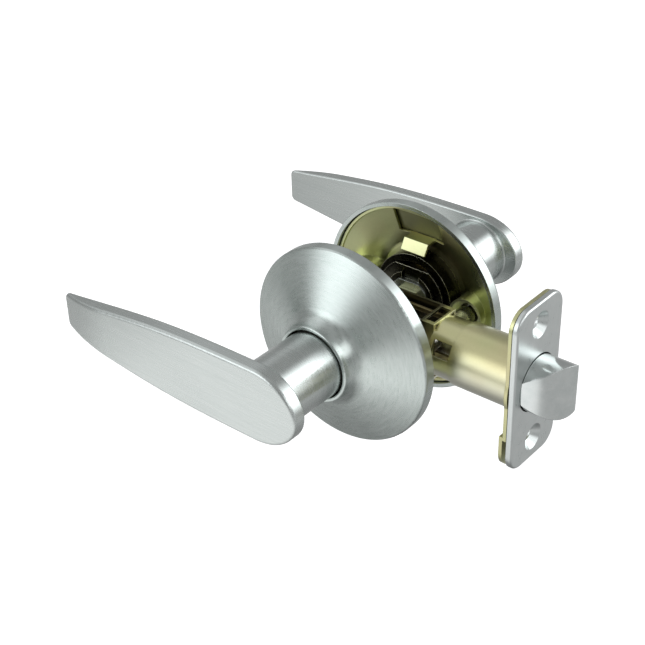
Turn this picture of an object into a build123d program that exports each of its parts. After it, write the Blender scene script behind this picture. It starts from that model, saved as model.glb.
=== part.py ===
from build123d import *
import os
from math import cos, radians, sin, tan

# Passage lever lockset for a door, in millimetres.
# Origin: where the spindle's axis crosses the latch's axis, in the middle of the door's thickness.
# +X runs along the latch to the door's edge, +Y into the room (interior half), +Z up.
# The exterior half stands on the door's -Y face and the interior half on its +Y face.
# "Depth" is a distance from the middle of the door, outwards along -Y or +Y.

EXTERIOR = -1
INTERIOR = 1

# Door and the standard distances set by it
DOOR_THICKNESS = 34.0
DOOR_FACE = DOOR_THICKNESS / 2
BACKSET = 60.3
POST_SPACING = 43.0
POST_X = POST_SPACING / 2

# Rose: a spun cover with a straight skirt, a cone and a flared collar
ROSE_RADIUS = 34.1
ROSE_HEIGHT = 17.4
ROSE_RIM_HEIGHT = 3.9
ROSE_SLOPE = 23.5
ROSE_WALL = 1.4
ROSE_HOLE_RADIUS = 11.9
COLLAR_RADIUS = ROSE_HOLE_RADIUS + ROSE_WALL
RIM_ROUNDING = 1.0
RIM_INSIDE_ROUNDING = 0.3
FLARE_ROUNDING = 6.0
MOUTH_ROUNDING = 0.5
ROSE_TOP = DOOR_FACE + ROSE_HEIGHT

# Dimples in the interior rose for the heads of the mounting screws
DIMPLE_RADIUS = 4.3
DIMPLE_WALL = 0.9
DIMPLE_FLOOR = 23.7

# Liner: the plated mounting plate inside the rose
LINER_INSET = 1.75
LINER_WALL = 0.9
LINER_EDGE = 0.6
LINER_EDGE_CUT = 1.6
LINER_EDGE_CUT_RADIUS = 28.5
LINER_FLOOR_RADIUS = 17.4
LINER_HOLE_RADIUS = 12.6
COLLAR_TOP = 18.1
POST_COLLAR_RADIUS = 6.2
LINER_SEAT = 20.5
LINER_RIM_ROUNDING = 0.6
LINER_FLOOR_ROUNDING = 1.5
WINDOW_WIDTH = 18.0
WINDOW_BOTTOM = 20.2
WINDOW_TOP = 30.0
HOOK_WIDTH = 9.6
HOOK_THICKNESS = 0.9
HOOK_BEND_DEPTH = 20.1
HOOK_FACE = 4.2
HOOK_SLOPE = 60.0

# Spring cage, hub and the pieces stacked on the lever's shank
CAGE_RADIUS = 15.0
CAGE_WALL = 0.8
CAGE_MOUTH = 19.1
CAGE_LIP_RADIUS = 12.4
CAGE_HOLE_RADIUS = 8.3
CAGE_SEAT_GAP = 0.05
STOP_ANGLE = 50.0
STOP_INNER_RADIUS = 10.4
STOP_THICKNESS = 1.0
HUB_RADIUS = 9.5
HUB_MOUTH = 18.9
HUB_END_GAP = 0.1
HUB_WING_RADIUS = 13.6
HUB_WING_WIDTH = 5.0
HUB_WING_THICKNESS = 0.8
WASHER_DEPTH = 17.8
WASHER_THICKNESS = 0.8
WASHER_RADIUS = 12.9
WASHER_HEIGHT = 22.0
RING_DEPTH = 16.9
RING_THICKNESS = 0.8
RING_RADIUS = 9.4
RING_GAP = 7.0
GROOVE_RADIUS = 6.7
GROOVE_SLACK = 0.05
RETURN_SPRING_RADIUS = 12.3
RETURN_SPRING_WIRE = 1.3
RETURN_SPRING_DEPTH = 20.8
RETURN_SPRING_PITCH = 1.4
RETURN_SPRING_TURNS = 1.4

# Lever: a flat tapering blade on a round neck
LEVER_FACE = 62.2
LEVER_THICKNESS = 5.0
LEVER_BACK = LEVER_FACE - LEVER_THICKNESS
BUTT_LENGTH = 16.3
BUTT_HALF_HEIGHT = 13.0
BLADE_MIDDLE = (-42.0, 11.7)
TIP_X = -87.0
TIP_HALF_HEIGHT = 6.2
TIP_SLOPE = 0.12
TIP_CURVE_START = -65.0
TIP_CURVE_DROP = 3.7
TIP_CORNER = 2.0
FACE_ROUNDING = 1.1
BACK_ROUNDING = 0.5
NECK_RADIUS = 11.4
NECK_END = 31.0
NECK_FILLET = 0.8
SHANK_RADIUS = 7.5
SHANK_FLAT = 12.6
SHANK_END = 16.2
SPINDLE_SIZE = 7.14
SPINDLE_HOLE = SPINDLE_SIZE + 0.16
SPINDLE_HOLE_END = 46.5
SPINDLE_REACH = 45.5
SPINDLE_CHAMFER = 0.5
SLIP = 0.08

# Screw posts on the exterior liner and the screws that clamp the halves together
POST_RADIUS = 3.2
POST_END = 19.5
POST_FLANGE_RADIUS = 4.9
POST_FLANGE_THICKNESS = 0.9
POST_TENON_RADIUS = 2.4
POST_RIVET_RADIUS = 3.2
POST_RIVET_THICKNESS = 0.6
POST_CHAMFER = 0.3
POST_HOLE_SLACK = 0.4
TAPPED_RADIUS = 2.1
TAPPED_DEPTH = 25.0
SCREW_RADIUS = 2.05
SCREW_HOLE_RADIUS = 2.4
SCREW_END = 2.0
SCREW_HEAD_RADIUS = 3.8
SCREW_HEAD_HEIGHT = 2.2
SCREW_HEAD_ROUNDING = 0.9
SCREW_RECESS_WIDTH = 1.0
SCREW_RECESS_LENGTH = 4.2
SCREW_RECESS_DEPTH = 1.4

# Faceplate and backplate at the door's edge
PLATE_WIDTH = 25.4
PLATE_HEIGHT = 57.15
PLATE_CORNER = 6.35
PLATE_THICKNESS = 1.9
PLATE_EDGE_ROUNDING = 0.8
PLATE_HOLE_SPACING = 41.3
PLATE_HOLE_RADIUS = 2.4
PLATE_SINK_RADIUS = 4.5
SINK_ANGLE = 82.0
SINK_BACK_RADIUS = 4.6
SINK_BACK_HEIGHT = 1.2
BOLT_HOLE_RADIUS = 9.75
BACKPLATE_WIDTH = 24.8
BACKPLATE_HEIGHT = 56.6
BACKPLATE_THICKNESS = 1.2
BACKPLATE_HOLE_SLACK = 0.2
BACKPLATE_BULGE = 13.1
EAR_START = 16.6
PLATE_GAP = 0.35
EAR_JOGGLE = 1.3
PLATE_BACK = BACKSET - PLATE_THICKNESS
BACKPLATE_BACK = PLATE_BACK - PLATE_GAP - BACKPLATE_THICKNESS

# Tube and case of the latch
TUBE_RADIUS = 10.7
TUBE_WALL = 0.6
TUBE_START = 34.5
CASE_WALL = 0.6
CASE_ROUND_RADIUS = TUBE_RADIUS - TUBE_WALL - 0.05
CASE_ROUND_START = 26.0
CASE_ROUND_END = 42.0
CASE_SIDE = 6.0
CASE_SIDE_WALL = 0.8
CASE_HALF_HEIGHT = 10.4
CASE_TAIL = -16.0
CASE_TOP_START = 20.8
CASE_SLOT_START = 21.7
CASE_SLOT_END = 25.2
CASE_SLOT_WIDTH = 9.0
CASE_SPLIT = 0.05
CASE_CORNER = 3.0
CASE_WINDOW_START = 27.4
CASE_WINDOW_END = 35.5
CASE_WINDOW_BOTTOM = 1.9
CASE_WINDOW_TOP = 6.6
BULKHEAD_X = 38.5
BULKHEAD_THICKNESS = 1.0
BULKHEAD_HOLE_SLACK = 0.4
SPACER_X = 12.0
SPACER_RADIUS = 2.2
RIVET_RADIUS = 1.4
RIVET_HEAD_RADIUS = 2.5
RIVET_HEAD_HEIGHT = 0.7

# Bolt, its carriage and spring, and the cam that draws it back
BOLT_THROW = 11.4
BOLT_RADIUS = 9.4
BOLT_BACK = 56.5
BOLT_FLAT = 5.6
BOLT_NOSE_ROUNDING = 1.2
RAMP_START = 2.2
RAMP_AT_PLATE = -8.5
RAMP_LOWER = (5.3, -6.3)
RAMP_UPPER = (8.5, -2.9)
ROD_RADIUS = 2.25
ROD_SOCKET_END = 62.0
ROD_END_GAP = 0.2
RAIL_TAIL = -4.6
RAIL_SIDE = 4.1
RAIL_WALL = 1.0
RAIL_TOP = 8.2
RAIL_BOTTOM = 6.6
LUG_FRONT = -2.3
WEB_X = 36.3
WEB_THICKNESS = 1.7
CAM_RADIUS = 6.3
CAM_HALF_WIDTH = 4.9
CAM_JOURNAL_RADIUS = 5.9
CAM_JOURNAL_END = 6.6
CAM_ARM_WIDTH = 4.0
CAM_ARM_REACH = 8.4
CAM_ARM_HALF_THICKNESS = 2.8
CAM_ARM_ROUNDING = 0.8
BOLT_SPRING_RADIUS = 4.4
BOLT_SPRING_WIRE = 0.9
BOLT_SPRING_TURNS = 6
SPRING_END_GAP = 0.1


def section_plane(side):
    """Plane through the spindle's axis: sketch X is world X, sketch Y is depth on that side."""
    return Plane(origin=(0, 0, 0), x_dir=(1, 0, 0), z_dir=(0, 0, side))


def facing_plane(side, depth):
    """Plane parallel to the door at a depth, facing outwards on that side."""
    return Plane(origin=(0, side * depth, 0), x_dir=(1, 0, 0), z_dir=(0, side, 0))


def latch_plane(x):
    """Plane across the latch at x: sketch X is world Y, sketch Y is world Z."""
    return Plane(origin=(x, 0, 0), x_dir=(0, 1, 0), z_dir=(1, 0, 0))


def cone_depth(radius, inset):
    """Depth of the rose's cone, or of a surface set in from it by inset, at a radius."""
    rise = (ROSE_RADIUS - radius) * tan(radians(ROSE_SLOPE))
    return DOOR_FACE + ROSE_RIM_HEIGHT + rise - inset / cos(radians(ROSE_SLOPE))


def cone_radius(depth, inset):
    """Radius at which the surface set in from the rose's cone by inset reaches a depth."""
    rise = depth - DOOR_FACE - ROSE_RIM_HEIGHT + inset / cos(radians(ROSE_SLOPE))
    return ROSE_RADIUS - rise / tan(radians(ROSE_SLOPE))


def shank_section(clearance):
    """Section of the lever's shank: a round bar with two flats, grown by a clearance."""
    with BuildSketch() as section:
        Circle(SHANK_RADIUS + clearance)
        Rectangle(4 * SHANK_RADIUS, SHANK_FLAT + 2 * clearance, mode=Mode.INTERSECT)
    return section.sketch


def save(piece, node):
    """Label a finished piece and write it under its node's name."""
    piece.part.label = node
    export_step(piece.part, f"parts/{node}.step")


def rose_section(inset):
    """Section from the axis out to the rose's outer line set in by inset, as (radius, depth)."""
    rim_radius = ROSE_RADIUS - inset
    rim_rounding = max(RIM_ROUNDING - inset, RIM_INSIDE_ROUNDING)
    collar_radius = COLLAR_RADIUS - inset
    rim = (rim_radius, DOOR_FACE)
    shoulder = (rim_radius, cone_depth(rim_radius, inset))
    neck = (collar_radius, cone_depth(collar_radius, inset))
    top = (collar_radius, ROSE_TOP)
    with BuildSketch() as section:
        with BuildLine():
            FilletPolyline(rim, shoulder, neck, top, radius=[rim_rounding, FLARE_ROUNDING + inset])
            Polyline(top, (0, ROSE_TOP), (0, DOOR_FACE), rim)
        make_face()
    return section.sketch


def liner_section(inset):
    """Section from the axis out to a surface of the liner, set in from the rose by inset."""
    rim_radius = ROSE_RADIUS - inset
    floor = cone_depth(LINER_FLOOR_RADIUS, LINER_INSET) + LINER_INSET - inset
    rim = (rim_radius, DOOR_FACE + LINER_EDGE)
    shoulder = (rim_radius, cone_depth(rim_radius, inset))
    corner = (cone_radius(floor, inset), floor)
    centre = (0, floor)
    with BuildSketch() as section:
        with BuildLine():
            FilletPolyline(rim, shoulder, corner, centre, radius=[LINER_RIM_ROUNDING, LINER_FLOOR_ROUNDING])
            Polyline(centre, (0, DOOR_FACE + LINER_EDGE), rim)
        make_face()
    return section.sketch


def make_rose(side, screw_dimples):
    """Spun cover; the interior one has two sunk seats for the mounting screws' heads."""
    with BuildPart() as cavity:
        with BuildSketch(section_plane(side)):
            add(rose_section(ROSE_WALL))
        revolve(axis=Axis.Y)
        if screw_dimples:
            with BuildSketch(facing_plane(side, DIMPLE_FLOOR - DIMPLE_WALL)):
                with GridLocations(POST_SPACING, 0, 2, 1):
                    Circle(DIMPLE_RADIUS + DIMPLE_WALL)
            extrude(amount=ROSE_HEIGHT, mode=Mode.SUBTRACT)

    with BuildPart() as rose:
        with BuildSketch(section_plane(side)):
            add(rose_section(0))
        revolve(axis=Axis.Y)
        add(cavity.part, mode=Mode.SUBTRACT)
        if screw_dimples:
            with BuildSketch(facing_plane(side, DIMPLE_FLOOR)):
                with GridLocations(POST_SPACING, 0, 2, 1):
                    Circle(DIMPLE_RADIUS)
            extrude(amount=ROSE_HEIGHT, mode=Mode.SUBTRACT)
            with BuildSketch(facing_plane(side, DOOR_FACE)):
                with GridLocations(POST_SPACING, 0, 2, 1):
                    Circle(SCREW_HOLE_RADIUS)
            extrude(amount=ROSE_HEIGHT, mode=Mode.SUBTRACT)
        mouth = rose.edges().filter_by(GeomType.CIRCLE).group_by(Axis.Y)[0 if side < 0 else -1]
        fillet(mouth, MOUTH_ROUNDING)
    return rose


def make_liner(side, seat_hole_radius):
    """Plated dish inside the rose: a collar and seat at each post, two windows and two hooks."""
    with BuildPart() as hollow:
        with BuildSketch(section_plane(side)):
            add(liner_section(LINER_INSET + LINER_WALL))
        revolve(axis=Axis.Y)
        with BuildSketch(facing_plane(side, COLLAR_TOP)):
            with GridLocations(POST_SPACING, 0, 2, 1):
                Circle(POST_COLLAR_RADIUS)
        extrude(amount=ROSE_HEIGHT, mode=Mode.SUBTRACT)

    with BuildPart() as liner:
        with BuildSketch(section_plane(side)):
            add(liner_section(LINER_INSET))
        revolve(axis=Axis.Y)
        add(hollow.part, mode=Mode.SUBTRACT)
        with BuildSketch(facing_plane(side, DOOR_FACE)):
            with GridLocations(POST_SPACING, 0, 2, 1):
                Circle(POST_COLLAR_RADIUS - LINER_WALL)
        extrude(amount=LINER_SEAT - DOOR_FACE, mode=Mode.SUBTRACT)
        with BuildSketch(facing_plane(side, LINER_SEAT + LINER_WALL)):
            with GridLocations(POST_SPACING, 0, 2, 1):
                Circle(POST_COLLAR_RADIUS - LINER_WALL)
        extrude(amount=ROSE_HEIGHT, mode=Mode.SUBTRACT)
        with BuildSketch(facing_plane(side, DOOR_FACE)):
            Circle(LINER_HOLE_RADIUS)
            with GridLocations(POST_SPACING, 0, 2, 1):
                Circle(seat_hole_radius)
            with GridLocations(0, WINDOW_TOP + WINDOW_BOTTOM, 1, 2):
                Rectangle(WINDOW_WIDTH, WINDOW_TOP - WINDOW_BOTTOM)
        extrude(amount=ROSE_HEIGHT, mode=Mode.SUBTRACT)
        with BuildSketch(facing_plane(side, DOOR_FACE)):
            Circle(ROSE_RADIUS)
            Circle(LINER_EDGE_CUT_RADIUS, mode=Mode.SUBTRACT)
        extrude(amount=LINER_EDGE_CUT, mode=Mode.SUBTRACT)
        root = cone_depth(WINDOW_BOTTOM, LINER_INSET)
        slope = radians(HOOK_SLOPE)
        tip = (HOOK_BEND_DEPTH - HOOK_FACE * cos(slope), WINDOW_BOTTOM - HOOK_FACE * sin(slope))
        inner_tip = (tip[0] + HOOK_THICKNESS * sin(slope), tip[1] - HOOK_THICKNESS * cos(slope))
        inner_bend = (HOOK_BEND_DEPTH + HOOK_THICKNESS * tan(slope / 2), WINDOW_BOTTOM - HOOK_THICKNESS)
        with BuildSketch(Plane.YZ):
            with BuildLine():
                Polyline(
                    (side * root, WINDOW_BOTTOM),
                    (side * HOOK_BEND_DEPTH, WINDOW_BOTTOM),
                    (side * tip[0], tip[1]),
                    (side * inner_tip[0], inner_tip[1]),
                    (side * inner_bend[0], inner_bend[1]),
                    (side * root, WINDOW_BOTTOM - HOOK_THICKNESS),
                    close=True,
                )
            make_face()
            mirror(about=Plane.XZ)
        extrude(amount=HOOK_WIDTH / 2, both=True)
    return liner


def make_spring_cage(side):
    """Round case of the return spring, open towards the door, with two stops on its floor."""
    floor = cone_depth(LINER_FLOOR_RADIUS, LINER_INSET) - LINER_WALL - CAGE_SEAT_GAP
    with BuildPart() as cage:
        with BuildSketch(facing_plane(side, CAGE_MOUTH)):
            Circle(CAGE_RADIUS)
        extrude(amount=floor - CAGE_MOUTH)
        with BuildSketch(facing_plane(side, CAGE_MOUTH + CAGE_WALL)):
            Circle(CAGE_RADIUS - CAGE_WALL)
        extrude(amount=floor - CAGE_MOUTH - 2 * CAGE_WALL, mode=Mode.SUBTRACT)
        with BuildSketch(facing_plane(side, CAGE_MOUTH)):
            Circle(CAGE_LIP_RADIUS)
        extrude(amount=CAGE_WALL, mode=Mode.SUBTRACT)
        with BuildSketch(facing_plane(side, CAGE_MOUTH)):
            Circle(CAGE_HOLE_RADIUS)
        extrude(amount=floor - CAGE_MOUTH, mode=Mode.SUBTRACT)
        with BuildSketch(facing_plane(side, floor - CAGE_WALL - STOP_THICKNESS)):
            with BuildLine():
                for start in (-STOP_ANGLE / 2, 180 - STOP_ANGLE / 2):
                    sector(CAGE_RADIUS - CAGE_WALL / 2, STOP_INNER_RADIUS, start, STOP_ANGLE)
            make_face()
        extrude(amount=STOP_THICKNESS)
    return cage


def sector(outer_radius, inner_radius, start, sweep):
    """Closed outline of a part of a ring, from a start angle over a sweep, in degrees."""
    outer = CenterArc((0, 0), outer_radius, start, sweep)
    inner = CenterArc((0, 0), inner_radius, start, sweep)
    Line(outer @ 0, inner @ 0)
    Line(outer @ 1, inner @ 1)


def make_return_spring(side):
    """Torsion spring wound round the hub inside the cage."""
    height = RETURN_SPRING_PITCH * RETURN_SPRING_TURNS
    start = (0, side * RETURN_SPRING_DEPTH, 0)
    with BuildPart() as spring:
        with BuildLine() as coil:
            Helix(RETURN_SPRING_PITCH, height, RETURN_SPRING_RADIUS, center=start, direction=(0, side, 0))
        with BuildSketch(Plane(origin=coil.line @ 0, z_dir=coil.line % 0)):
            Circle(RETURN_SPRING_WIRE / 2)
        sweep(is_frenet=True)
    return spring


def make_drive_hub(side):
    """Sleeve keyed to the lever's shank, with two wings that meet the cage's stops."""
    floor = cone_depth(LINER_FLOOR_RADIUS, LINER_INSET) - LINER_WALL - CAGE_SEAT_GAP
    end = floor - CAGE_WALL - HUB_END_GAP
    with BuildPart() as hub:
        with BuildSketch(facing_plane(side, HUB_MOUTH)):
            Circle(HUB_RADIUS)
        extrude(amount=end - HUB_MOUTH)
        with BuildSketch(facing_plane(side, end - HUB_WING_THICKNESS)):
            Circle(HUB_WING_RADIUS)
            Rectangle(HUB_WING_WIDTH, 2 * HUB_WING_RADIUS, mode=Mode.INTERSECT)
        extrude(amount=HUB_WING_THICKNESS)
        with BuildSketch(facing_plane(side, HUB_MOUTH)):
            add(shank_section(SLIP))
        extrude(amount=end - HUB_MOUTH, mode=Mode.SUBTRACT)
    return hub


def make_thrust_washer(side):
    """Washer keyed to the shank, between the spring cage and the retaining ring."""
    with BuildPart() as washer:
        with BuildSketch(facing_plane(side, WASHER_DEPTH)):
            Circle(WASHER_RADIUS)
            Rectangle(3 * WASHER_RADIUS, WASHER_HEIGHT, mode=Mode.INTERSECT)
            add(shank_section(SLIP), mode=Mode.SUBTRACT)
        extrude(amount=WASHER_THICKNESS)
    return washer


def make_retaining_ring(side):
    """Open ring sprung into the groove at the end of the shank."""
    with BuildPart() as ring:
        with BuildSketch(facing_plane(side, RING_DEPTH)):
            Circle(RING_RADIUS)
            Circle(GROOVE_RADIUS + SLIP, mode=Mode.SUBTRACT)
            with Locations((0, -RING_RADIUS)):
                Rectangle(RING_GAP, RING_RADIUS, mode=Mode.SUBTRACT)
        extrude(amount=RING_THICKNESS)
    return ring


def make_lever(side):
    """Lever with a flat tapering blade, a round neck and a flatted shank bored for the spindle."""
    with BuildPart() as lever:
        with BuildSketch(facing_plane(side, LEVER_BACK)):
            with BuildLine():
                EllipticalCenterArc((0, 0), BUTT_LENGTH, BUTT_HALF_HEIGHT, arc_size=90)
                top = Spline(
                    (0, BUTT_HALF_HEIGHT),
                    BLADE_MIDDLE,
                    (TIP_X, TIP_HALF_HEIGHT),
                    tangents=((-1, 0), (-1, -TIP_SLOPE)),
                )
                Line(top @ 1, (TIP_X, 0))
                Line((TIP_X, 0), (BUTT_LENGTH, 0))
            make_face()
            mirror(about=Plane.XZ)
        extrude(amount=LEVER_THICKNESS)
        fillet(lever.edges().filter_by(Axis.Y).sort_by(Axis.X)[:2], TIP_CORNER)
        with BuildSketch(section_plane(side)):
            with BuildLine():
                face = Line((2 * BUTT_LENGTH, LEVER_FACE), (TIP_CURVE_START, LEVER_FACE))
                curve = TangentArc(face @ 1, (TIP_X, LEVER_FACE - TIP_CURVE_DROP), tangent=face % 1)
                Polyline(curve @ 1, (TIP_X, LEVER_BACK), (2 * BUTT_LENGTH, LEVER_BACK), face @ 0)
            make_face()
        extrude(amount=2 * BUTT_HALF_HEIGHT, both=True, mode=Mode.INTERSECT)
        outward = Axis((0, 0, 0), (0, side, 0))
        back_face = lever.faces().filter_by(Axis.Y).sort_by(outward)[0]
        fillet(back_face.edges(), BACK_ROUNDING)
        flat_face = lever.faces().filter_by(Axis.Y).sort_by(outward)[-1]
        tip_face = lever.faces().filter_by(GeomType.CYLINDER).sort_by(SortBy.AREA)[-1]
        smooth_join = flat_face.edges().filter_by(Axis.Z).sort_by(Axis.X)[0]
        rim = flat_face.edges() + tip_face.edges()
        fillet(rim.filter_by(lambda edge: edge.center().X != smooth_join.center().X), FACE_ROUNDING)
        with BuildSketch(facing_plane(side, NECK_END)):
            Circle(NECK_RADIUS)
        extrude(amount=LEVER_BACK - NECK_END)
        neck_seam = lever.edges().filter_by(GeomType.CIRCLE).filter_by_position(
            Axis.Y, *sorted((side * (LEVER_BACK - 0.1), side * (LEVER_BACK + 0.1)))
        )
        fillet(neck_seam, NECK_FILLET)
        with BuildSketch(facing_plane(side, SHANK_END)):
            add(shank_section(0))
        extrude(amount=NECK_END - SHANK_END)
        with BuildSketch(facing_plane(side, RING_DEPTH - GROOVE_SLACK)):
            Circle(2 * SHANK_RADIUS)
            Circle(GROOVE_RADIUS, mode=Mode.SUBTRACT)
        extrude(amount=RING_THICKNESS + 2 * GROOVE_SLACK, mode=Mode.SUBTRACT)
        with BuildSketch(facing_plane(side, SHANK_END)):
            Rectangle(SPINDLE_HOLE, SPINDLE_HOLE)
        extrude(amount=SPINDLE_HOLE_END - SHANK_END, mode=Mode.SUBTRACT)
    return lever


def make_spindle():
    """Square bar that turns the latch's cam from either lever."""
    with BuildPart() as spindle:
        with BuildSketch(Plane.XZ):
            Rectangle(SPINDLE_SIZE, SPINDLE_SIZE)
        extrude(amount=SPINDLE_REACH, both=True)
        chamfer(spindle.faces().filter_by(Axis.Y).edges(), SPINDLE_CHAMFER)
    return spindle


def make_screw_posts():
    """Two tapped posts riveted into the exterior liner's seats."""
    with BuildPart() as posts:
        flange = LINER_SEAT - POST_FLANGE_THICKNESS
        with BuildSketch(facing_plane(EXTERIOR, -POST_END)):
            with GridLocations(POST_SPACING, 0, 2, 1):
                Circle(POST_RADIUS)
        extrude(amount=flange + POST_END)
        with BuildSketch(facing_plane(EXTERIOR, flange)):
            with GridLocations(POST_SPACING, 0, 2, 1):
                Circle(POST_FLANGE_RADIUS)
        extrude(amount=POST_FLANGE_THICKNESS)
        with BuildSketch(facing_plane(EXTERIOR, LINER_SEAT)):
            with GridLocations(POST_SPACING, 0, 2, 1):
                Circle(POST_TENON_RADIUS)
        extrude(amount=LINER_WALL)
        with BuildSketch(facing_plane(EXTERIOR, LINER_SEAT + LINER_WALL)):
            with GridLocations(POST_SPACING, 0, 2, 1):
                Circle(POST_RIVET_RADIUS)
        extrude(amount=POST_RIVET_THICKNESS)
        with BuildSketch(facing_plane(INTERIOR, POST_END)):
            with GridLocations(POST_SPACING, 0, 2, 1):
                Circle(TAPPED_RADIUS)
        extrude(amount=-TAPPED_DEPTH, mode=Mode.SUBTRACT)
        chamfer(posts.faces().sort_by(Axis.Y)[-2:].edges(), POST_CHAMFER)
    return posts


def make_mounting_screws():
    """Two pan-head machine screws, through the interior rose into the posts."""
    with BuildPart() as screws:
        with BuildSketch(facing_plane(INTERIOR, SCREW_END)):
            with GridLocations(POST_SPACING, 0, 2, 1):
                Circle(SCREW_RADIUS)
        extrude(amount=DIMPLE_FLOOR - SCREW_END)
        with BuildSketch(facing_plane(INTERIOR, DIMPLE_FLOOR)):
            with GridLocations(POST_SPACING, 0, 2, 1):
                Circle(SCREW_HEAD_RADIUS)
        extrude(amount=SCREW_HEAD_HEIGHT)
        fillet(screws.faces().sort_by(Axis.Y)[-2:].edges(), SCREW_HEAD_ROUNDING)
        with BuildSketch(facing_plane(INTERIOR, DIMPLE_FLOOR + SCREW_HEAD_HEIGHT)):
            with GridLocations(POST_SPACING, 0, 2, 1):
                Rectangle(SCREW_RECESS_LENGTH, SCREW_RECESS_WIDTH)
                Rectangle(SCREW_RECESS_WIDTH, SCREW_RECESS_LENGTH)
        extrude(amount=-SCREW_RECESS_DEPTH, mode=Mode.SUBTRACT)
    return screws


def make_faceplate():
    """Plate let into the door's edge, with a round bolt hole and two formed screw seats."""
    with BuildPart() as plate:
        with BuildSketch(latch_plane(PLATE_BACK)):
            RectangleRounded(PLATE_WIDTH, PLATE_HEIGHT, PLATE_CORNER)
        extrude(amount=PLATE_THICKNESS)
        fillet(plate.faces().sort_by(Axis.X)[-1].edges(), PLATE_EDGE_ROUNDING)
        with BuildSketch(latch_plane(PLATE_BACK)):
            with GridLocations(0, PLATE_HOLE_SPACING, 1, 2):
                Circle(SINK_BACK_RADIUS)
        extrude(amount=-SINK_BACK_HEIGHT, taper=SINK_ANGLE / 2)
        with Locations(latch_plane(BACKSET)):
            with GridLocations(0, PLATE_HOLE_SPACING, 1, 2):
                CounterSinkHole(PLATE_HOLE_RADIUS, PLATE_SINK_RADIUS, counter_sink_angle=SINK_ANGLE)
            Hole(BOLT_HOLE_RADIUS)
    return plate


def make_backplate():
    """Plated plate behind the faceplate, with a round middle and its lower ear set back."""
    with BuildPart() as plate:
        with BuildSketch(latch_plane(BACKPLATE_BACK)):
            RectangleRounded(BACKPLATE_WIDTH, BACKPLATE_HEIGHT, PLATE_CORNER)
            Circle(BACKPLATE_BULGE)
            with Locations((0, -BACKPLATE_HEIGHT)):
                Rectangle(2 * PLATE_WIDTH, 2 * (BACKPLATE_HEIGHT - EAR_START), mode=Mode.SUBTRACT)
        extrude(amount=BACKPLATE_THICKNESS)
        with BuildSketch(latch_plane(BACKPLATE_BACK - EAR_JOGGLE)):
            ear_top = EAR_START - BACKPLATE_THICKNESS
            RectangleRounded(BACKPLATE_WIDTH, BACKPLATE_HEIGHT, PLATE_CORNER)
            with Locations((0, -BACKPLATE_HEIGHT)):
                Rectangle(2 * PLATE_WIDTH, 2 * (BACKPLATE_HEIGHT - ear_top), mode=Mode.INTERSECT)
        extrude(amount=BACKPLATE_THICKNESS)
        with BuildSketch(latch_plane(BACKPLATE_BACK - EAR_JOGGLE)):
            with Locations((0, BACKPLATE_THICKNESS / 2 - EAR_START)):
                Rectangle(BACKPLATE_WIDTH, BACKPLATE_THICKNESS)
        extrude(amount=EAR_JOGGLE + BACKPLATE_THICKNESS)
        with BuildSketch(latch_plane(BACKPLATE_BACK - EAR_JOGGLE)):
            Circle(TUBE_RADIUS)
            with GridLocations(0, PLATE_HOLE_SPACING, 1, 2):
                Circle(SINK_BACK_RADIUS + BACKPLATE_HOLE_SLACK)
        extrude(amount=PLATE_THICKNESS + BACKPLATE_THICKNESS + EAR_JOGGLE, mode=Mode.SUBTRACT)
    return plate


def make_latch_tube():
    """Sleeve that joins the case to the plates."""
    with BuildPart() as tube:
        with BuildSketch(latch_plane(TUBE_START)):
            Circle(TUBE_RADIUS)
            Circle(TUBE_RADIUS - TUBE_WALL, mode=Mode.SUBTRACT)
        extrude(amount=PLATE_BACK - TUBE_START)
    return tube


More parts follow.
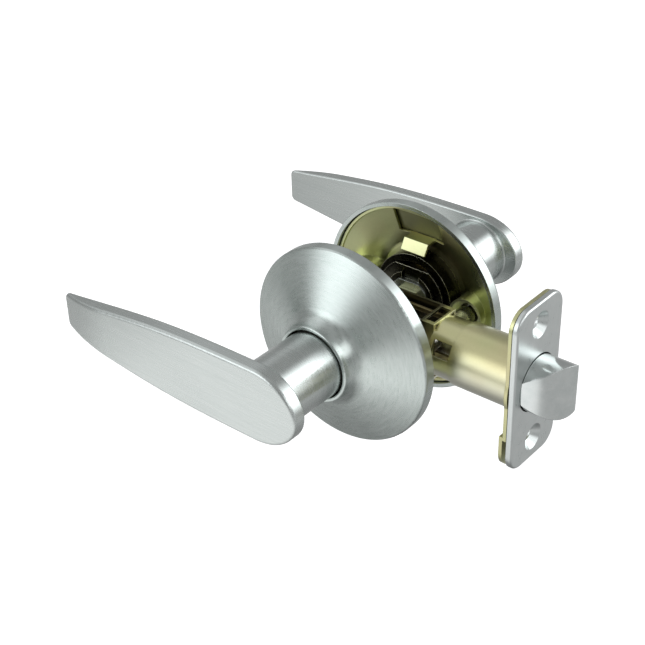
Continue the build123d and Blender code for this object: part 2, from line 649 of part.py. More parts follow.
def make_latch_case(side):
    """One pressed half of the latch's case: a flat cheek at the cam, rounded to fit the tube."""
    inner_cheek = CASE_SIDE - CASE_SIDE_WALL
    inner_height = CASE_HALF_HEIGHT - CASE_SIDE_WALL
    with BuildPart() as case:
        with BuildSketch(facing_plane(side, inner_cheek)):
            with Locations(((CASE_TAIL + CASE_ROUND_START) / 2, 0)):
                RectangleRounded(CASE_ROUND_START - CASE_TAIL, 2 * CASE_HALF_HEIGHT, CASE_CORNER)
            with Locations((CASE_ROUND_START - CASE_CORNER, 0)):
                Rectangle(2 * CASE_CORNER, 2 * CASE_HALF_HEIGHT)
        extrude(amount=CASE_SIDE_WALL)
        with BuildSketch(facing_plane(side, CASE_SPLIT)):
            with GridLocations(0, 2 * CASE_HALF_HEIGHT - CASE_SIDE_WALL, 1, 2):
                with Locations(((CASE_TOP_START + CASE_ROUND_START) / 2, 0)):
                    Rectangle(CASE_ROUND_START - CASE_TOP_START, CASE_SIDE_WALL)
        extrude(amount=inner_cheek)
        with BuildSketch(latch_plane(CASE_ROUND_START)):
            Circle(CASE_ROUND_RADIUS)
        extrude(amount=CASE_ROUND_END - CASE_ROUND_START)
        with BuildSketch(latch_plane(CASE_ROUND_START)):
            Circle(CASE_ROUND_RADIUS - CASE_WALL)
        extrude(amount=BULKHEAD_X - CASE_ROUND_START, mode=Mode.SUBTRACT)
        with BuildSketch(latch_plane(BULKHEAD_X + BULKHEAD_THICKNESS)):
            Circle(CASE_ROUND_RADIUS - CASE_WALL)
        extrude(amount=CASE_ROUND_END - CASE_ROUND_START, mode=Mode.SUBTRACT)
        with BuildSketch(latch_plane(BULKHEAD_X)):
            Circle(ROD_RADIUS + BULKHEAD_HOLE_SLACK)
        extrude(amount=BULKHEAD_THICKNESS, mode=Mode.SUBTRACT)
        with BuildSketch(latch_plane(CASE_ROUND_START - CASE_SIDE_WALL)):
            Rectangle(2 * CASE_SIDE, 2 * CASE_HALF_HEIGHT)
            Rectangle(2 * inner_cheek, 2 * inner_height, mode=Mode.SUBTRACT)
        extrude(amount=CASE_SIDE_WALL)
        split(bisect_by=facing_plane(side, CASE_SPLIT), keep=Keep.TOP)
        with BuildSketch(Plane.XZ):
            Circle(CAM_JOURNAL_RADIUS + SLIP)
            with Locations((POST_X, 0)):
                Circle(POST_RADIUS + POST_HOLE_SLACK)
            with GridLocations(2 * SPACER_X, 0, 2, 1):
                Circle(RIVET_RADIUS)
        extrude(amount=2 * CASE_SIDE, both=True, mode=Mode.SUBTRACT)
        with BuildSketch(Plane.XY):
            with Locations(((CASE_SLOT_START + CASE_SLOT_END) / 2, 0)):
                Rectangle(CASE_SLOT_END - CASE_SLOT_START, CASE_SLOT_WIDTH)
        extrude(amount=2 * CASE_HALF_HEIGHT, both=True, mode=Mode.SUBTRACT)
        window_x = (CASE_WINDOW_START + CASE_WINDOW_END) / 2
        window_z = (CASE_WINDOW_BOTTOM + CASE_WINDOW_TOP) / 2
        with BuildSketch(Plane.XZ):
            with Locations((window_x, window_z)):
                Rectangle(CASE_WINDOW_END - CASE_WINDOW_START, CASE_WINDOW_TOP - CASE_WINDOW_BOTTOM)
        extrude(amount=2 * CASE_SIDE, both=True, mode=Mode.SUBTRACT)
    return case


def make_case_spacers():
    """Two shouldered rivets that hold the case's halves apart and together."""
    with BuildPart() as spacers:
        with BuildSketch(Plane.XZ):
            with GridLocations(2 * SPACER_X, 0, 2, 1):
                Circle(SPACER_RADIUS)
        extrude(amount=CASE_SIDE - CASE_SIDE_WALL, both=True)
        with BuildSketch(Plane.XZ):
            with GridLocations(2 * SPACER_X, 0, 2, 1):
                Circle(RIVET_RADIUS)
        extrude(amount=CASE_SIDE, both=True)
        for side in (EXTERIOR, INTERIOR):
            with BuildSketch(facing_plane(side, CASE_SIDE)):
                with GridLocations(2 * SPACER_X, 0, 2, 1):
                    Circle(RIVET_HEAD_RADIUS)
            extrude(amount=RIVET_HEAD_HEIGHT)
    return spacers


def make_latch_bolt():
    """Spring bolt: a round bar with a flat rear side and a curved ramp towards the strike."""
    with BuildPart() as bolt:
        with BuildSketch(latch_plane(BOLT_BACK)):
            Circle(BOLT_RADIUS)
        extrude(amount=BACKSET + BOLT_THROW - BOLT_BACK)
        with BuildSketch(Plane.XY):
            with BuildLine():
                ramp = Spline(
                    (BACKSET - RAMP_START, -BOLT_RADIUS),
                    (BACKSET, RAMP_AT_PLATE),
                    (BACKSET + RAMP_LOWER[0], RAMP_LOWER[1]),
                    (BACKSET + RAMP_UPPER[0], RAMP_UPPER[1]),
                    (BACKSET + BOLT_THROW, BOLT_FLAT),
                )
                Polyline(
                    ramp @ 1,
                    (BOLT_BACK, BOLT_FLAT),
                    (BOLT_BACK, -BOLT_RADIUS),
                    ramp @ 0,
                )
            make_face()
        extrude(amount=2 * BOLT_RADIUS, both=True, mode=Mode.INTERSECT)
        fillet(bolt.edges().sort_by(Axis.X)[-1], BOLT_NOSE_ROUNDING)
        with BuildSketch(latch_plane(BOLT_BACK)):
            Circle(ROD_RADIUS + SLIP)
        extrude(amount=ROD_SOCKET_END - BOLT_BACK, mode=Mode.SUBTRACT)
    return bolt


def make_bolt_carriage():
    """Fork that straddles the cam and the post, with a rod that carries the bolt."""
    rail_middle = (RAIL_TOP + RAIL_BOTTOM) / 2
    rail_height = RAIL_TOP - RAIL_BOTTOM
    with BuildPart() as carriage:
        for height in (-rail_middle, rail_middle):
            with BuildSketch(latch_plane(RAIL_TAIL)):
                with Locations((0, height)):
                    Rectangle(2 * RAIL_SIDE, rail_height)
            extrude(amount=WEB_X + WEB_THICKNESS - RAIL_TAIL)
        with BuildSketch(latch_plane(LUG_FRONT)):
            Rectangle(2 * (RAIL_SIDE - RAIL_WALL), 4 * RAIL_TOP)
        extrude(amount=WEB_X - LUG_FRONT, mode=Mode.SUBTRACT)
        with BuildSketch(latch_plane(WEB_X)):
            Rectangle(2 * RAIL_SIDE, 2 * RAIL_TOP)
        extrude(amount=WEB_THICKNESS)
        with BuildSketch(latch_plane(WEB_X)):
            Circle(ROD_RADIUS)
        extrude(amount=ROD_SOCKET_END - ROD_END_GAP - WEB_X)
    return carriage


def make_bolt_spring():
    """Compression spring round the rod, between the case's bulkhead and the bolt."""
    length = BOLT_BACK - BULKHEAD_X - BULKHEAD_THICKNESS - BOLT_SPRING_WIRE - 2 * SPRING_END_GAP
    start = (BULKHEAD_X + BULKHEAD_THICKNESS + BOLT_SPRING_WIRE / 2 + SPRING_END_GAP, 0, 0)
    with BuildPart() as spring:
        with BuildLine() as coil:
            Helix(length / BOLT_SPRING_TURNS, length, BOLT_SPRING_RADIUS, center=start, direction=(1, 0, 0))
        with BuildSketch(Plane(origin=coil.line @ 0, z_dir=coil.line % 0)):
            Circle(BOLT_SPRING_WIRE / 2)
        sweep(is_frenet=True)
    return spring


def make_latch_cam():
    """Cam on two journals in the case, with an arm above and below to draw the carriage."""
    with BuildPart() as cam:
        with BuildSketch(Plane.XZ):
            Circle(CAM_RADIUS)
        extrude(amount=CAM_HALF_WIDTH, both=True)
        with BuildSketch(Plane.XZ):
            Circle(CAM_JOURNAL_RADIUS)
        extrude(amount=CAM_JOURNAL_END, both=True)
        with BuildSketch(Plane.XZ):
            Rectangle(CAM_ARM_WIDTH, 2 * CAM_ARM_REACH)
        extrude(amount=CAM_ARM_HALF_THICKNESS, both=True)
        fillet(cam.edges().filter_by(Axis.Y).group_by(Axis.Z)[-1], CAM_ARM_ROUNDING)
        fillet(cam.edges().filter_by(Axis.Y).group_by(Axis.Z)[0], CAM_ARM_ROUNDING)
        with BuildSketch(Plane.XZ):
            Rectangle(SPINDLE_HOLE, SPINDLE_HOLE)
        extrude(amount=2 * CAM_JOURNAL_END, both=True, mode=Mode.SUBTRACT)
    return cam


def save_half(name, side, seat_hole_radius):
    """Make and save the pieces that the exterior and interior halves have in common."""
    save(make_rose(side, screw_dimples=side == INTERIOR), f"{name}_rose")
    save(make_liner(side, seat_hole_radius), f"{name}_liner")
    save(make_spring_cage(side), f"{name}_spring_cage")
    save(make_return_spring(side), f"{name}_return_spring")
    save(make_drive_hub(side), f"{name}_drive_hub")
    save(make_thrust_washer(side), f"{name}_thrust_washer")
    save(make_retaining_ring(side), f"{name}_retaining_ring")
    save(make_lever(side), f"{name}_lever")


os.makedirs("parts", exist_ok=True)
save_half("exterior", EXTERIOR, POST_TENON_RADIUS)
save_half("interior", INTERIOR, POST_RADIUS + POST_HOLE_SLACK)
save(make_spindle(), "spindle")
save(make_screw_posts(), "screw_posts")
save(make_mounting_screws(), "mounting_screws")
save(make_faceplate(), "latch_faceplate")
save(make_backplate(), "latch_backplate")
save(make_latch_tube(), "latch_tube")
save(make_latch_case(EXTERIOR), "latch_case_outer")
save(make_latch_case(INTERIOR), "latch_case_inner")
save(make_case_spacers(), "case_spacers")
save(make_latch_bolt(), "latch_bolt")
save(make_bolt_carriage(), "bolt_carriage")
save(make_bolt_spring(), "bolt_spring")
save(make_latch_cam(), "latch_cam")
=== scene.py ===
import math

import bpy
from mathutils import Matrix, Vector


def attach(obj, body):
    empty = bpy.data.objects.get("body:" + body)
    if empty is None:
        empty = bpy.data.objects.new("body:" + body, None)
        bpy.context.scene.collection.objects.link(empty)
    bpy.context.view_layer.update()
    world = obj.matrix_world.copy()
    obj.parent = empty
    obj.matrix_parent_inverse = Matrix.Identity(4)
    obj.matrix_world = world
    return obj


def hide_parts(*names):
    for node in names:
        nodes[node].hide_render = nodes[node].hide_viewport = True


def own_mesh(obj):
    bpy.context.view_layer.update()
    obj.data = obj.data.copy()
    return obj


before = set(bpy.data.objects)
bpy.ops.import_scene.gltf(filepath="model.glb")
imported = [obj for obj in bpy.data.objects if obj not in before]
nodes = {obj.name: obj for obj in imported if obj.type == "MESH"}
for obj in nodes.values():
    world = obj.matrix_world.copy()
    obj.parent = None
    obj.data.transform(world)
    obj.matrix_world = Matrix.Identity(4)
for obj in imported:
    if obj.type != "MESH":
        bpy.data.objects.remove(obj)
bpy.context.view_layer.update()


# ---------------------------------------------------------------- node helpers

class Nodes:
    """A small wrapper that adds and links nodes in one node tree."""

    def __init__(self, tree):
        self.tree = tree
        tree.nodes.clear()

    def add(self, kind, inputs=None, **settings):
        node = self.tree.nodes.new(kind)
        for key, value in settings.items():
            setattr(node, key, value)
        for key, value in (inputs or {}).items():
            self.feed(node.inputs[key], value)
        return node

    def feed(self, socket, value):
        if isinstance(value, bpy.types.NodeSocket):
            self.tree.links.new(value, socket)
        else:
            socket.default_value = value

    def math(self, operation, a, b=0.0):
        return self.add("ShaderNodeMath", {0: a, 1: b}, operation=operation).outputs[0]

    def ramp(self, fac, stops):
        node = self.add("ShaderNodeValToRGB", {"Fac": fac})
        ramp = node.color_ramp
        while len(ramp.elements) < len(stops):
            ramp.elements.new(0.5)
        for element, (place, colour) in zip(ramp.elements, stops):
            element.position = place
            element.color = (*colour, 1.0) if isinstance(colour, tuple) else (colour, colour, colour, 1.0)
        return node.outputs["Color"]

    def span(self, value, low, high, to_low, to_high):
        node = self.add("ShaderNodeMapRange", {"Value": value, "From Min": low, "From Max": high,
                                               "To Min": to_low, "To Max": to_high})
        return node.outputs["Result"]

    def noise(self, vector, scale, detail=2.0, roughness=0.5):
        node = self.add("ShaderNodeTexNoise", {"Vector": vector, "Scale": scale, "Detail": detail,
                                               "Roughness": roughness})
        return node.outputs["Fac"]

    def combine(self, x, y, z):
        return self.add("ShaderNodeCombineXYZ", {"X": x, "Y": y, "Z": z}).outputs[0]

    def mix_vector(self, fac, a, b):
        node = self.add("ShaderNodeMix", data_type="VECTOR")
        self.feed(node.inputs[0], fac)
        self.feed(node.inputs[4], a)
        self.feed(node.inputs[5], b)
        return node.outputs[1]

    def mix_colour(self, fac, a, b, blend="MIX"):
        node = self.add("ShaderNodeMix", data_type="RGBA", blend_type=blend)
        self.feed(node.inputs[0], fac)
        self.feed(node.inputs[6], a)
        self.feed(node.inputs[7], b)
        return node.outputs[2]


def new_material(name):
    material = bpy.data.materials.new(name)
    material.use_nodes = True
    return material, Nodes(material.node_tree)


def place(n):
    """Object coordinates, which are the row frame's own, in metres, and their three parts."""
    point = n.add("ShaderNodeTexCoord").outputs["Object"]
    parts = n.add("ShaderNodeSeparateXYZ", {"Vector": point})
    return point, parts.outputs["X"], parts.outputs["Y"], parts.outputs["Z"]


def turned(n, x, z):
    """Radius about the spindle's axis, and the direction from it as cosine and sine."""
    radius = n.math("SQRT", n.math("ADD", n.math("MULTIPLY", x, x), n.math("MULTIPLY", z, z)))
    safe = n.math("MAXIMUM", radius, 0.0001)
    return radius, n.math("DIVIDE", x, safe), n.math("DIVIDE", z, safe)


def world_direction(n, vector):
    """A direction given in object coordinates, as the shader's tangent wants it."""
    node = n.add("ShaderNodeVectorTransform", {"Vector": vector}, vector_type="VECTOR",
                 convert_from="OBJECT", convert_to="WORLD")
    return node.outputs[0]


EASED_EDGE = 0.00025
GRAIN_DEPTH = 0.00002
SPECK_DEPTH = 0.00001


def finish_metal(n, colour, roughness, bump, bump_distance, anisotropy=0.0, tangent=None, strength=1.0):
    """The shader that every metal here ends in: its edges are eased and its grain is bumped."""
    inputs = {"Base Color": colour, "Metallic": 1.0, "Roughness": roughness, "Anisotropic": anisotropy}
    if tangent is not None:
        inputs["Tangent"] = tangent
        inputs["Anisotropic Rotation"] = 0.25
    eased = n.add("ShaderNodeBevel", {"Radius": EASED_EDGE}, samples=6).outputs[0]
    bumped = n.add("ShaderNodeBump", {"Height": bump, "Strength": strength,
                                      "Distance": bump_distance, "Normal": eased})
    inputs["Normal"] = bumped.outputs[0]
    shader = n.add("ShaderNodeBsdfPrincipled", inputs)
    n.add("ShaderNodeOutputMaterial", {"Surface": shader.outputs[0]})
    return shader


# ---------------------------------------------------------------- materials

ROSE_INSIDE = (0.0317, 0.0321)    # the rose's inside ends between these radii, within its rim
# The rose's inside is painted this dark olive: a painted reflection of the yellow liner, with painted shade.
ROSE_INSIDE_PAINTED_REFLECTION = (0.30, 0.30, 0.17, 1)
BLADE_START = (0.0570, 0.0575)    # distances from the door's middle where the neck meets the blade
SPECK_COLOUR = (0.40, 0.36, 0.20, 1)
# Pale cream painted on the lower side of the tube and case: a painted reflection of the bright floor below.
LOW_SIDE_PAINTED_REFLECTION = (0.80, 0.80, 0.66, 1)
PAINTED_REFLECTION_HEIGHTS = (-0.003, 0.007)       # heights between which the painted reflection on the lower side fades out
# Near black painted on the case towards the spindle, inside the rose: painted shade.
CASE_PAINTED_SHADE = (0.07, 0.063, 0.04, 1)
# How far in the painted highlight on the black steel's edges reaches.
EDGE_HIGHLIGHT_RADIUS = 0.0003


def satin_nickel_turned(name):
    """Satin nickel brushed in circles about the spindle's axis; inside, painted olive reflection and shade.
    """
    material, n = new_material(name)
    point, x, y, z = place(n)
    radius, c, s = turned(n, x, z)
    fine_rings = n.combine(n.math("MULTIPLY", c, 0.002), n.math("MULTIPLY", s, 0.002), radius)
    coarse_rings = n.combine(n.math("MULTIPLY", c, 0.004), n.math("MULTIPLY", s, 0.004), radius)
    fine = n.noise(fine_rings, 4200.0, 3.0, 0.65)
    coarse = n.noise(coarse_rings, 1300.0, 2.0, 0.5)
    cloud = n.noise(point, 45.0, 3.0, 0.5)
    grain = n.math("ADD", n.math("MULTIPLY", fine, 0.5), n.math("MULTIPLY", coarse, 0.5))
    colour = n.mix_colour(n.span(grain, 0.32, 0.68, 0.0, 1.0), (0.47, 0.525, 0.50, 1), (0.62, 0.67, 0.65, 1))
    normal = n.add("ShaderNodeTexCoord").outputs["Normal"]
    facing = n.add("ShaderNodeSeparateXYZ", {"Vector": normal}).outputs["Y"]
    # Inside the rim, faces turned towards the door get the painted reflection of the liner and painted shade;
    # they are also rougher.
    inside = n.span(n.math("MULTIPLY", facing, n.math("SIGN", y)), -0.06, 0.02, 1.0, 0.0)
    inside = n.math("MULTIPLY", inside, n.span(radius, *ROSE_INSIDE, 1.0, 0.0))
    colour = n.mix_colour(inside, colour, ROSE_INSIDE_PAINTED_REFLECTION)
    satin = n.math("ADD", n.span(grain, 0.3, 0.7, 0.24, 0.32), n.span(cloud, 0.3, 0.7, -0.02, 0.02))
    roughness = n.math("ADD", satin, n.math("MULTIPLY", inside, 0.14))
    tangent = world_direction(n, n.combine(n.math("MULTIPLY", s, -1.0), 0.0, c))
    finish_metal(n, colour, roughness, grain, GRAIN_DEPTH, 0.75, tangent, 0.5)
    return material


def satin_nickel_lever(name):
    """Satin nickel brushed along the blade and round the neck."""
    material, n = new_material(name)
    point, x, y, z = place(n)
    c, s = turned(n, x, z)[1:]
    blade = n.span(n.math("ABSOLUTE", y), *BLADE_START, 0.0, 1.0)
    along = n.combine(n.math("MULTIPLY", x, 0.03), y, z)
    around = n.combine(n.math("MULTIPLY", c, 0.001), n.math("MULTIPLY", s, 0.001), y)
    streaks = n.mix_vector(blade, around, along)
    fine = n.noise(streaks, 5200.0, 3.0, 0.6)
    coarse = n.noise(streaks, 900.0, 2.0, 0.5)
    cloud = n.noise(point, 40.0, 3.0, 0.5)
    grain = n.math("ADD", n.math("MULTIPLY", fine, 0.6), n.math("MULTIPLY", coarse, 0.4))
    colour = n.mix_colour(n.span(grain, 0.3, 0.7, 0.0, 1.0), (0.53, 0.57, 0.555, 1), (0.63, 0.665, 0.65, 1))
    roughness = n.math("ADD", n.span(grain, 0.3, 0.7, 0.22, 0.30), n.span(cloud, 0.3, 0.7, -0.02, 0.02))
    round_neck = n.combine(n.math("MULTIPLY", s, -1.0), 0.0, c)
    direction = n.mix_vector(blade, round_neck, n.combine(1.0, 0.0, 0.0))
    finish_metal(n, colour, roughness, grain, GRAIN_DEPTH, 0.6, world_direction(n, direction), 0.35)
    return material


def satin_latch(name, low, high, mottle):
    """The faceplate's fine, plain satin finish, and the bolt's smoother, cloudier one."""
    material, n = new_material(name)
    point, x, y, z = place(n)
    streaks = n.combine(n.math("MULTIPLY", x, 0.4), y, n.math("MULTIPLY", z, 0.08))
    fine = n.noise(streaks, 4200.0, 3.0, 0.6)
    cloud = n.noise(point, 230.0, 3.0, 0.55)
    tone = n.math("ADD", n.math("MULTIPLY", fine, 1.0 - mottle), n.math("MULTIPLY", cloud, mottle))
    colour = n.mix_colour(n.span(tone, 0.3, 0.7, 0.0, 1.0), (0.61, 0.65, 0.64, 1), (0.71, 0.74, 0.73, 1))
    roughness = n.span(tone, 0.3, 0.7, low, high)
    finish_metal(n, colour, roughness, fine, GRAIN_DEPTH, strength=0.12)
    return material


def yellow_zinc(name, thin, middle, thick, low, high, coat=1.0, low_reflection=0.0, shade_towards_spindle=None):
    """Yellow chromated zinc: three tones, from where the film is thin to where it is thick.

    With a paler amount, the lower side is painted paler, a painted reflection of the bright floor below.
    With a pair of distances from the spindle, it is painted darker towards the spindle, a painted shade.
    """
    material, n = new_material(name)
    point, x, y, z = place(n)
    film = n.noise(point, 60.0, 2.0, 0.45)
    patch = n.noise(point, 22.0, 2.0, 0.5)
    speck = n.noise(point, 1500.0, 2.0, 0.6)
    mixed = n.math("ADD", n.math("MULTIPLY", film, 0.5), n.math("MULTIPLY", patch, 0.5))
    colour = n.ramp(mixed, [(0.36, thin), (0.50, middle), (0.64, thick)])
    colour = n.mix_colour(n.span(speck, 0.45, 0.8, 0.0, 0.12), colour, SPECK_COLOUR)
    # The lower side is painted paler: a painted reflection of the bright floor below.
    if low_reflection:
        uneven_z = n.math("ADD", z, n.span(film, 0.3, 0.7, -0.001, 0.001))
        colour = n.mix_colour(n.span(uneven_z, *PAINTED_REFLECTION_HEIGHTS, low_reflection, 0.0), colour, LOW_SIDE_PAINTED_REFLECTION)
    # Painted shade: the case is painted darker towards the spindle, inside the rose.
    if shade_towards_spindle is not None:
        uneven_x = n.math("ADD", x, n.span(film, 0.3, 0.7, -0.0006, 0.0006))
        colour = n.mix_colour(n.span(uneven_x, *shade_towards_spindle, 1.0, 0.0), colour, CASE_PAINTED_SHADE)
    roughness = n.span(film, 0.3, 0.7, low, high)
    shader = finish_metal(n, colour, roughness, speck, SPECK_DEPTH, strength=0.2)
    shader.inputs["Coat Weight"].default_value = coat
    shader.inputs["Coat IOR"].default_value = 1.6
    shader.inputs["Coat Roughness"].default_value = 0.20
    return material


def plated_steel(name, dark, light, low, high, edge_highlight=None):
    """Small turned and stamped steel pieces; given an edge colour, their edges are painted with it as a
    painted highlight.
    """
    material, n = new_material(name)
    point = place(n)[0]
    fleck = n.noise(point, 700.0, 3.0, 0.6)
    cloud = n.noise(point, 130.0, 2.0, 0.5)
    colour = n.mix_colour(n.span(cloud, 0.3, 0.7, 0.0, 1.0), (*dark, 1), (*light, 1))
    if edge_highlight is not None:
        # Painted highlight: the edges are painted in the light colour, broken up by the cloud.
        eased = n.add("ShaderNodeBevel", {"Radius": EDGE_HIGHLIGHT_RADIUS}, samples=8).outputs[0]
        plain = n.add("ShaderNodeNewGeometry").outputs["Normal"]
        match = n.add("ShaderNodeVectorMath", {0: eased, 1: plain}, operation="DOT_PRODUCT")
        on_edge = n.span(match.outputs["Value"], 0.90, 0.985, 1.0, 0.0)
        painted_highlight = n.math("MULTIPLY", on_edge, n.span(cloud, 0.35, 0.6, 0.5, 1.0))
        colour = n.mix_colour(painted_highlight, colour, (*edge_highlight, 1))
    roughness = n.span(fleck, 0.3, 0.7, low, high)
    finish_metal(n, colour, roughness, fleck, GRAIN_DEPTH, strength=0.3)
    return material


OLIVE = (0.48, 0.50, 0.26), (0.56, 0.56, 0.28), (0.61, 0.56, 0.30)

FINISHES = {
    "rose": satin_nickel_turned("satin_nickel_turned"),
    "lever": satin_nickel_lever("satin_nickel_lever"),
    "latch_face": satin_latch("satin_latch", 0.26, 0.34, 0.5),
    "bolt": satin_latch("satin_bolt", 0.10, 0.19, 0.9),
    "zinc": yellow_zinc("yellow_zinc", *OLIVE, 0.28, 0.36),
    "tube": yellow_zinc("tube_zinc", *OLIVE, 0.28, 0.36, low_reflection=0.9),
    "case": yellow_zinc("case_zinc", *OLIVE, 0.28, 0.36, low_reflection=0.9, shade_towards_spindle=(0.0212, 0.0236)),
    "liner": yellow_zinc("green_zinc", (0.54, 0.60, 0.32), (0.63, 0.66, 0.36), (0.70, 0.66, 0.38), 0.26, 0.36,
                         coat=0.3),
    "black": plated_steel("black_steel", (0.018, 0.018, 0.013), (0.050, 0.048, 0.034), 0.18, 0.30,
                          edge_highlight=(0.72, 0.70, 0.55)),
    "cast": plated_steel("die_cast_zinc", (0.38, 0.32, 0.15), (0.52, 0.45, 0.25), 0.30, 0.44),
    "plated": plated_steel("plated_steel", (0.52, 0.52, 0.46), (0.66, 0.65, 0.58), 0.22, 0.34),
}
SLOT_FINISH = {"satin_latch": "latch_face", "yellow_zinc": "zinc", "black_steel": "black",
               "die_cast_zinc": "cast", "plated_steel": "plated"}


def finish_of(name):
    if name.endswith("_rose"):
        return "rose"
    if name.endswith("_lever"):
        return "lever"
    if name.endswith("_liner"):
        return "liner"
    if name == "latch_tube":
        return "tube"
    if name.startswith("latch_case_"):
        return "case"
    if name.endswith(("_thrust_washer", "_retaining_ring", "_return_spring")):
        return "black"
    if name == "latch_bolt":
        return "bolt"
    if name == "spindle":
        return "zinc"
    if name in ("bolt_carriage", "bolt_spring"):
        return "cast"
    return SLOT_FINISH[nodes[name].material_slots[0].material.name.split(".")[0]]


for name, obj in nodes.items():
    material = FINISHES[finish_of(name)]
    for held in obj.material_slots:
        held.material = material


# ---------------------------------------------------------------- bolt spring

# The spring shortens towards the case's bulkhead as the bolt slides in; here it is copied into a piece of its
# own on the lock body.
coil = bpy.data.objects.new("bolt_spring_coil", nodes["bolt_spring"].data.copy())
coil.matrix_world = nodes["bolt_spring"].matrix_world.copy()
bpy.context.scene.collection.objects.link(coil)
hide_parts("bolt_spring")
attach(coil, "lock_body")
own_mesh(coil)


# ---------------------------------------------------------------- camera

AZIMUTH = math.radians(40.3)
ELEVATION = math.radians(32.18)
ROLL = math.radians(-1.64)
DISTANCE = 0.4504
SIDE = 0.01862
RISE = 0.00134
LENS = 76.58

back = Vector((math.sin(AZIMUTH) * math.cos(ELEVATION), -math.cos(AZIMUTH) * math.cos(ELEVATION),
               math.sin(ELEVATION)))
level = Vector((math.cos(AZIMUTH), math.sin(AZIMUTH), 0.0))
upright = back.cross(level)
right = level * math.cos(ROLL) + upright * math.sin(ROLL)
up = upright * math.cos(ROLL) - level * math.sin(ROLL)
camera_data = bpy.data.cameras.new("camera")
camera_data.sensor_width = 36.0
camera_data.lens = LENS
camera_data.clip_start = 0.01
camera_data.clip_end = 100.0
camera = bpy.data.objects.new("camera", camera_data)
bpy.context.scene.collection.objects.link(camera)
spot = back * DISTANCE - right * SIDE - up * RISE
camera.matrix_world = Matrix.Translation(spot) @ Matrix((right, up, back)).transposed().to_4x4()
bpy.context.scene.camera = camera


# ---------------------------------------------------------------- floor and light

FLOOR_HEIGHT = -0.080    # clear of the levers' tips at full turn
FLOOR_REACH = 40.0


def level_sheet(name, low, high, height):
    """A flat rectangle between two corners, at that height."""
    mesh = bpy.data.meshes.new(name)
    corners = [(low[0], low[1], 0), (high[0], low[1], 0), (high[0], high[1], 0), (low[0], high[1], 0)]
    mesh.from_pydata(corners, [], [(0, 1, 2, 3)])
    sheet = bpy.data.objects.new(name, mesh)
    sheet.location.z = height
    bpy.context.scene.collection.objects.link(sheet)
    return sheet


floor = level_sheet("floor", (-FLOOR_REACH, -FLOOR_REACH), (FLOOR_REACH, FLOOR_REACH), FLOOR_HEIGHT)
floor_material, n = new_material("floor")
shader = n.add("ShaderNodeBsdfPrincipled", {"Base Color": (0.93, 0.93, 0.93, 1), "Roughness": 0.9,
                                            "Specular IOR Level": 0.1, "Emission Color": (1, 1, 1, 1),
                                            "Emission Strength": 0.50})
n.add("ShaderNodeOutputMaterial", {"Surface": shader.outputs[0]})
floor.data.materials.append(floor_material)
floor.visible_glossy = False


# A soft bounce card just above the floor, in front of the lever. Only reflections show it.
CARD_X = (-0.170, 0.120)
CARD_Y = (-0.300, -0.075)
CARD_EDGE = 0.045
CARD_LIFT = 0.0005
CARD_GLOW = 1.15
card = level_sheet("bounce_card", (CARD_X[0] - CARD_EDGE, CARD_Y[0] - CARD_EDGE),
                   (CARD_X[1] + CARD_EDGE, CARD_Y[1] + CARD_EDGE), FLOOR_HEIGHT + CARD_LIFT)
card_material, n = new_material("bounce_card")
x, y = place(n)[1:3]
lit = 1.0
for across, (start, end) in ((x, CARD_X), (y, CARD_Y)):
    lit = n.math("MULTIPLY", lit, n.span(across, start - CARD_EDGE, start + CARD_EDGE, 0.0, 1.0))
    lit = n.math("MULTIPLY", lit, n.span(across, end - CARD_EDGE, end + CARD_EDGE, 1.0, 0.0))
glow = n.add("ShaderNodeEmission", {"Color": (1, 1, 1, 1), "Strength": CARD_GLOW})
clear = n.add("ShaderNodeBsdfTransparent")
mixed = n.add("ShaderNodeMixShader", {0: lit, 1: clear.outputs[0], 2: glow.outputs[0]})
n.add("ShaderNodeOutputMaterial", {"Surface": mixed.outputs[0]})
card.data.materials.append(card_material)
card.visible_camera = False
card.visible_diffuse = False
card.visible_shadow = False


world = bpy.data.worlds.new("studio")
bpy.context.scene.world = world
world.use_nodes = True
w = Nodes(world.node_tree)
looking = w.add("ShaderNodeSeparateXYZ", {"Vector": w.add("ShaderNodeTexCoord").outputs["Generated"]})
turn = w.math("ARCTAN2", looking.outputs["X"], w.math("MULTIPLY", looking.outputs["Y"], -1.0))
height = w.math("ARCSINE", looking.outputs["Z"])


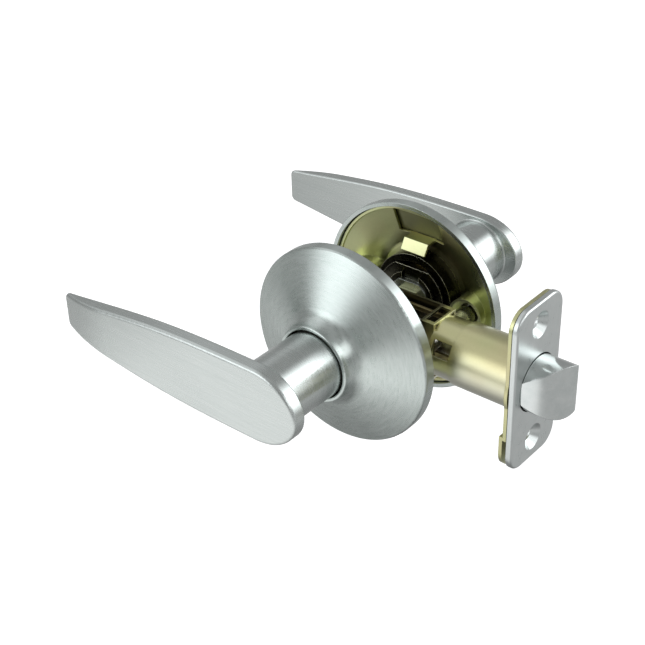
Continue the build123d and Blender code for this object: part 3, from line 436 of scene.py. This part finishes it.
def soft_box(azimuth, elevation, width, tall, edge):
    """1 inside a soft-edged box of that size in degrees, seen from the object, and 0 outside it."""
    sideways = w.math("WRAP", w.math("SUBTRACT", turn, math.radians(azimuth)), math.pi)
    w.feed(sideways.node.inputs[2], -math.pi)
    across = w.math("ABSOLUTE", sideways)
    upwards = w.math("ABSOLUTE", w.math("SUBTRACT", height, math.radians(elevation)))
    fade = math.radians(edge)
    parts = []
    for away, size in ((across, width), (upwards, tall)):
        half_size = math.radians(size / 2)
        node = w.add("ShaderNodeMapRange", {"Value": away, "From Min": half_size - fade / 2,
                                            "From Max": half_size + fade / 2, "To Min": 1.0, "To Max": 0.0},
                     interpolation_type="SMOOTHSTEP")
        parts.append(node.outputs["Result"])
    return w.math("MULTIPLY", *parts)


# The room's brightness from straight down, 0, to straight up, 1
ROOM = [(0.0, 0.22), (0.17, 0.27), (0.27, 0.46), (0.36, 0.58),
        (0.46, 0.48), (0.52, 0.36), (0.75, 0.38), (1.0, 0.48)]

# Azimuth from -Y towards +X, elevation, width, height and soft edge in degrees, then colour
SOFT_BOXES = (
    (-30, 18, 33, 36, 24, (1.80, 1.85, 1.89, 1)),
    (82, 30, 76, 28, 14, (1.15, 1.17, 1.18, 1)),
    (136, 24, 44, 46, 30, (2.60, 2.66, 2.70, 1)),
    (-85, 48, 100, 34, 24, (0.48, 0.49, 0.50, 1)),
    (12, -26, 34, 30, 20, (0.20, 0.20, 0.20, 1)),
)

light = w.ramp(w.span(height, -math.pi / 2, math.pi / 2, 0.0, 1.0), ROOM)
for azimuth, elevation, width, tall, edge, colour in SOFT_BOXES:
    box = soft_box(azimuth, elevation, width, tall, edge)
    light = w.mix_colour(box, light, w.mix_colour(1.0, light, colour, "ADD"))
lighting = w.add("ShaderNodeBackground", {"Color": light, "Strength": 1.0})
backdrop = w.add("ShaderNodeBackground", {"Color": (1, 1, 1, 1), "Strength": 1.0})    # what the camera sees
shown = w.add("ShaderNodeMixShader", {0: w.add("ShaderNodeLightPath").outputs["Is Camera Ray"],
                                      1: lighting.outputs[0], 2: backdrop.outputs[0]})
w.add("ShaderNodeOutputWorld", {"Surface": shown.outputs[0]})

bpy.context.scene.view_settings.view_transform = "Standard"
bpy.context.scene.view_settings.look = "None"
